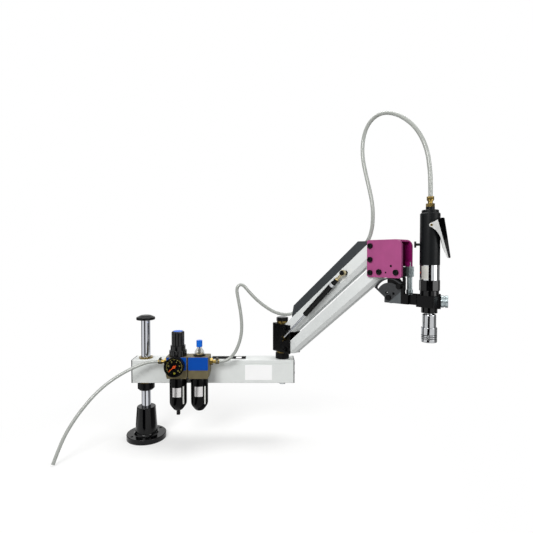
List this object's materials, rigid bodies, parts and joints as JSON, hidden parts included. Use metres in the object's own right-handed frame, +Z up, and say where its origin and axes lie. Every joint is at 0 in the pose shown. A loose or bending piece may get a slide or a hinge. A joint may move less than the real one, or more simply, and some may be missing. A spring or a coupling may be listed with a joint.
{
  "type": "arm tapping machine",
  "caption": "Bench arm tapping machine: a swivelling beam on a flanged column carries an air service unit and a spring-balanced parallel arm with a tilting air tapping tool and quick-change chuck.",
  "frame": {"origin": "centre of the bolt circle on the underside of the base flange, on the column's axis", "axes": "+Z up along the column, +X along the beam from the column towards the elbow, +Y away from the air service unit"},
  "size_m": [1.0378, 0.4913, 0.9682],
  "materials": {
    "black_paint": "satin",
    "polished_steel": "polished",
    "black_plastic": "matte",
    "blued_steel": "oil-blackened",
    "silver_aluminium": "anodised",
    "bright_screw": "bright",
    "bronze": "machined",
    "dark_casting": "satin",
    "blue_plastic": "satin",
    "smoked_bowl": "satin",
    "clear_glass": "clear",
    "needle_paint": "matte",
    "white_paint": "satin",
    "black_cover": "satin",
    "magenta_paint": "satin",
    "grey_zinc": "galvanised",
    "tool_black": "satin",
    "bright_aluminium": "machined",
    "clear_hose": "translucent"
  },
  "bodies": {
    "root": {"base_casting": "black_paint", "column_tube": "polished_steel", "column_cap": "black_plastic"},
    "collar": {"height_collar": "blued_steel"},
    "beam": {"beam_profile": "silver_aluminium", "beam_end_plates": "black_plastic", "end_plate_screws": "bright_screw", "column_sleeve": "polished_steel", "column_bushes": "bronze", "elbow_shaft": "bright_screw", "knurled_collar": "blued_steel", "filter_body": "dark_casting", "oiler_body": "dark_casting", "frl_bracket": "blued_steel", "face_plates": "blue_plastic", "filter_bowl": "smoked_bowl", "oil_bowl": "smoked_bowl", "sight_strips": "clear_glass", "regulator_bonnet": "black_plastic", "dome_ring": "black_plastic", "sight_dome": "clear_glass", "gauge_case": "black_plastic", "gauge_glass": "clear_glass", "frl_fittings": "bronze", "hose_clamps": "bright_screw", "inlet_hose": "clear_hose", "middle_hose": "clear_hose"},
    "drain": {"drain_valve": "black_plastic"},
    "pressure_control": {"regulator_knob": "black_plastic"},
    "drip_control": {"drip_knob": "blue_plastic"},
    "needle": {"gauge_needle": "needle_paint"},
    "elbow": {"elbow_block": "blued_steel", "elbow_thrust_rings": "bronze", "link_pivot_bolts": "blued_steel"},
    "elbow_lock": {"elbow_knob": "black_plastic"},
    "lower_arm": {"lower_link": "white_paint"},
    "upper_arm": {"upper_link": "white_paint", "hose_cover": "black_cover", "gas_upper_stud": "blued_steel", "cover_hose": "clear_hose"},
    "spring_tube": {"gas_cylinder": "black_paint"},
    "spring_rod": {"gas_rod": "polished_steel"},
    "head": {"head_casting": "magenta_paint", "head_bolts": "blued_steel", "tilt_hanger": "blued_steel", "tilt_bolts": "blued_steel", "stop_screw": "grey_zinc", "top_hose": "clear_hose"},
    "tool": {"sector_bracket": "blued_steel", "tool_clamp": "blued_steel", "tool_body": "tool_black", "exhaust_sleeve": "bright_aluminium", "tool_collar": "blued_steel", "gear_nose": "blued_steel", "air_fitting": "bronze"},
    "thumbscrew": {"clamp_screw": "grey_zinc"},
    "throttle": {"lever": "blued_steel"},
    "reverser": {"reverse_button": "black_plastic"},
    "chuck": {"chuck_body": "polished_steel"},
    "release": {"chuck_sleeve": "polished_steel"}
  },
  "joints": [
    {"name": "column_slide", "type": "slide", "parent": "root", "child": "collar", "axis": [0, 0, 1], "range_m": [-0.045, 0.11]},
    {"name": "beam_swivel", "type": "hinge", "parent": "collar", "child": "beam", "pos_m": [0, 0, 0.2], "axis": [0, 0, 1], "range_deg": [-170, 170], "deforming": ["inlet_hose"]},
    {"name": "elbow_swivel", "type": "hinge", "parent": "beam", "child": "elbow", "pos_m": [0.449, 0, 0.3], "axis": [0, 0, 1], "range_deg": [-80, 180], "deforming": ["middle_hose"]},
    {"name": "arm_lift", "type": "hinge", "parent": "elbow", "child": "lower_arm", "pos_m": [0.47439, -0.03026, 0.301], "axis": [-0.766, -0.6428, 0], "range_deg": [-50, 2]},
    {"name": "upper_arm_swing", "type": "hinge", "parent": "elbow", "child": "upper_arm", "pos_m": [0.47439, -0.03026, 0.3695], "axis": [-0.766, -0.6428, 0], "range_deg": [-50, 2]},
    {"name": "head_level", "type": "hinge", "parent": "lower_arm", "child": "head", "pos_m": [0.68301, -0.27888, 0.5564], "axis": [-0.766, -0.6428, 0], "range_deg": [-2, 50], "deforming": ["top_hose"]},
    {"name": "spring_tube_swing", "type": "hinge", "parent": "upper_arm", "child": "spring_tube", "pos_m": [0.62793, -0.21324, 0.55301], "axis": [-0.766, -0.6428, 0], "range_deg": [-0.2, 2.4]},
    {"name": "spring_rod_slide", "type": "slide", "parent": "spring_tube", "child": "spring_rod", "axis": [-0.4786, 0.5704, -0.6675], "range_m": [-0.0252, 0.0012]},
    {"name": "tool_tilt", "type": "hinge", "parent": "head", "child": "tool", "pos_m": [0.71541, -0.31749, 0.496], "axis": [0.766, 0.6428, 0], "range_deg": [0, 90]},
    {"name": "clamp_screw_turn", "type": "hinge", "parent": "tool", "child": "thumbscrew", "pos_m": [0.8076, -0.4036, 0.4938], "axis": [0.9304, -0.3665, 0], "range_deg": [-30, 330]},
    {"name": "throttle_lever", "type": "hinge", "parent": "tool", "child": "throttle", "pos_m": [0.78071, -0.39301, 0.6698], "axis": [0.3665, 0.9304, 0], "range_deg": [0, 8], "stiffness_Nm_per_rad": 1.5, "springref_deg": -11.46},
    {"name": "reverse_press", "type": "slide", "parent": "tool", "child": "reverser", "axis": [0.9304, -0.3665, 0], "range_m": [0, 0.003], "stiffness_N_per_m": 400, "springref_m": -0.002},
    {"name": "spindle_spin", "type": "hinge", "parent": "tool", "child": "chuck", "pos_m": [0.77782, -0.39188, 0.44], "axis": [0, 0, 1], "continuous": true},
    {"name": "release_slide", "type": "slide", "parent": "chuck", "child": "release", "axis": [0, 0, 1], "range_m": [0, 0.006], "stiffness_N_per_m": 400, "springref_m": -0.004},
    {"name": "elbow_knob_turn", "type": "hinge", "parent": "beam", "child": "elbow_lock", "pos_m": [0.449, 0, 0.39], "axis": [0, 0, 1], "range_deg": [0, 270]},
    {"name": "pressure_knob_turn", "type": "hinge", "parent": "beam", "child": "pressure_control", "pos_m": [0.119, -0.062, 0.33], "axis": [0, 0, 1], "range_deg": [-720, 720]},
    {"name": "drip_knob_turn", "type": "hinge", "parent": "beam", "child": "drip_control", "pos_m": [0.186, -0.062, 0.32], "axis": [0, 0, 1], "range_deg": [0, 300]},
    {"name": "drain_turn", "type": "hinge", "parent": "beam", "child": "drain", "pos_m": [0.119, -0.062, 0.11], "axis": [0, 0, 1], "range_deg": [0, 90]},
    {"name": "needle_swing", "type": "hinge", "parent": "beam", "child": "needle", "pos_m": [0.1157, -0.107, 0.261], "axis": [0, 1, 0], "range_deg": [0, 262], "stiffness_Nm_per_rad": 0.002}
  ],
  "couplings": [
    {"joint": "upper_arm_swing", "follows": "arm_lift", "ratio": 1},
    {"joint": "head_level", "follows": "arm_lift", "ratio": -1},
    {"joint": "spring_tube_swing", "follows": "arm_lift", "ratio": -0.046},
    {"joint": "spring_rod_slide", "follows": "arm_lift", "m_per_rad": 0.0285}
  ]
}
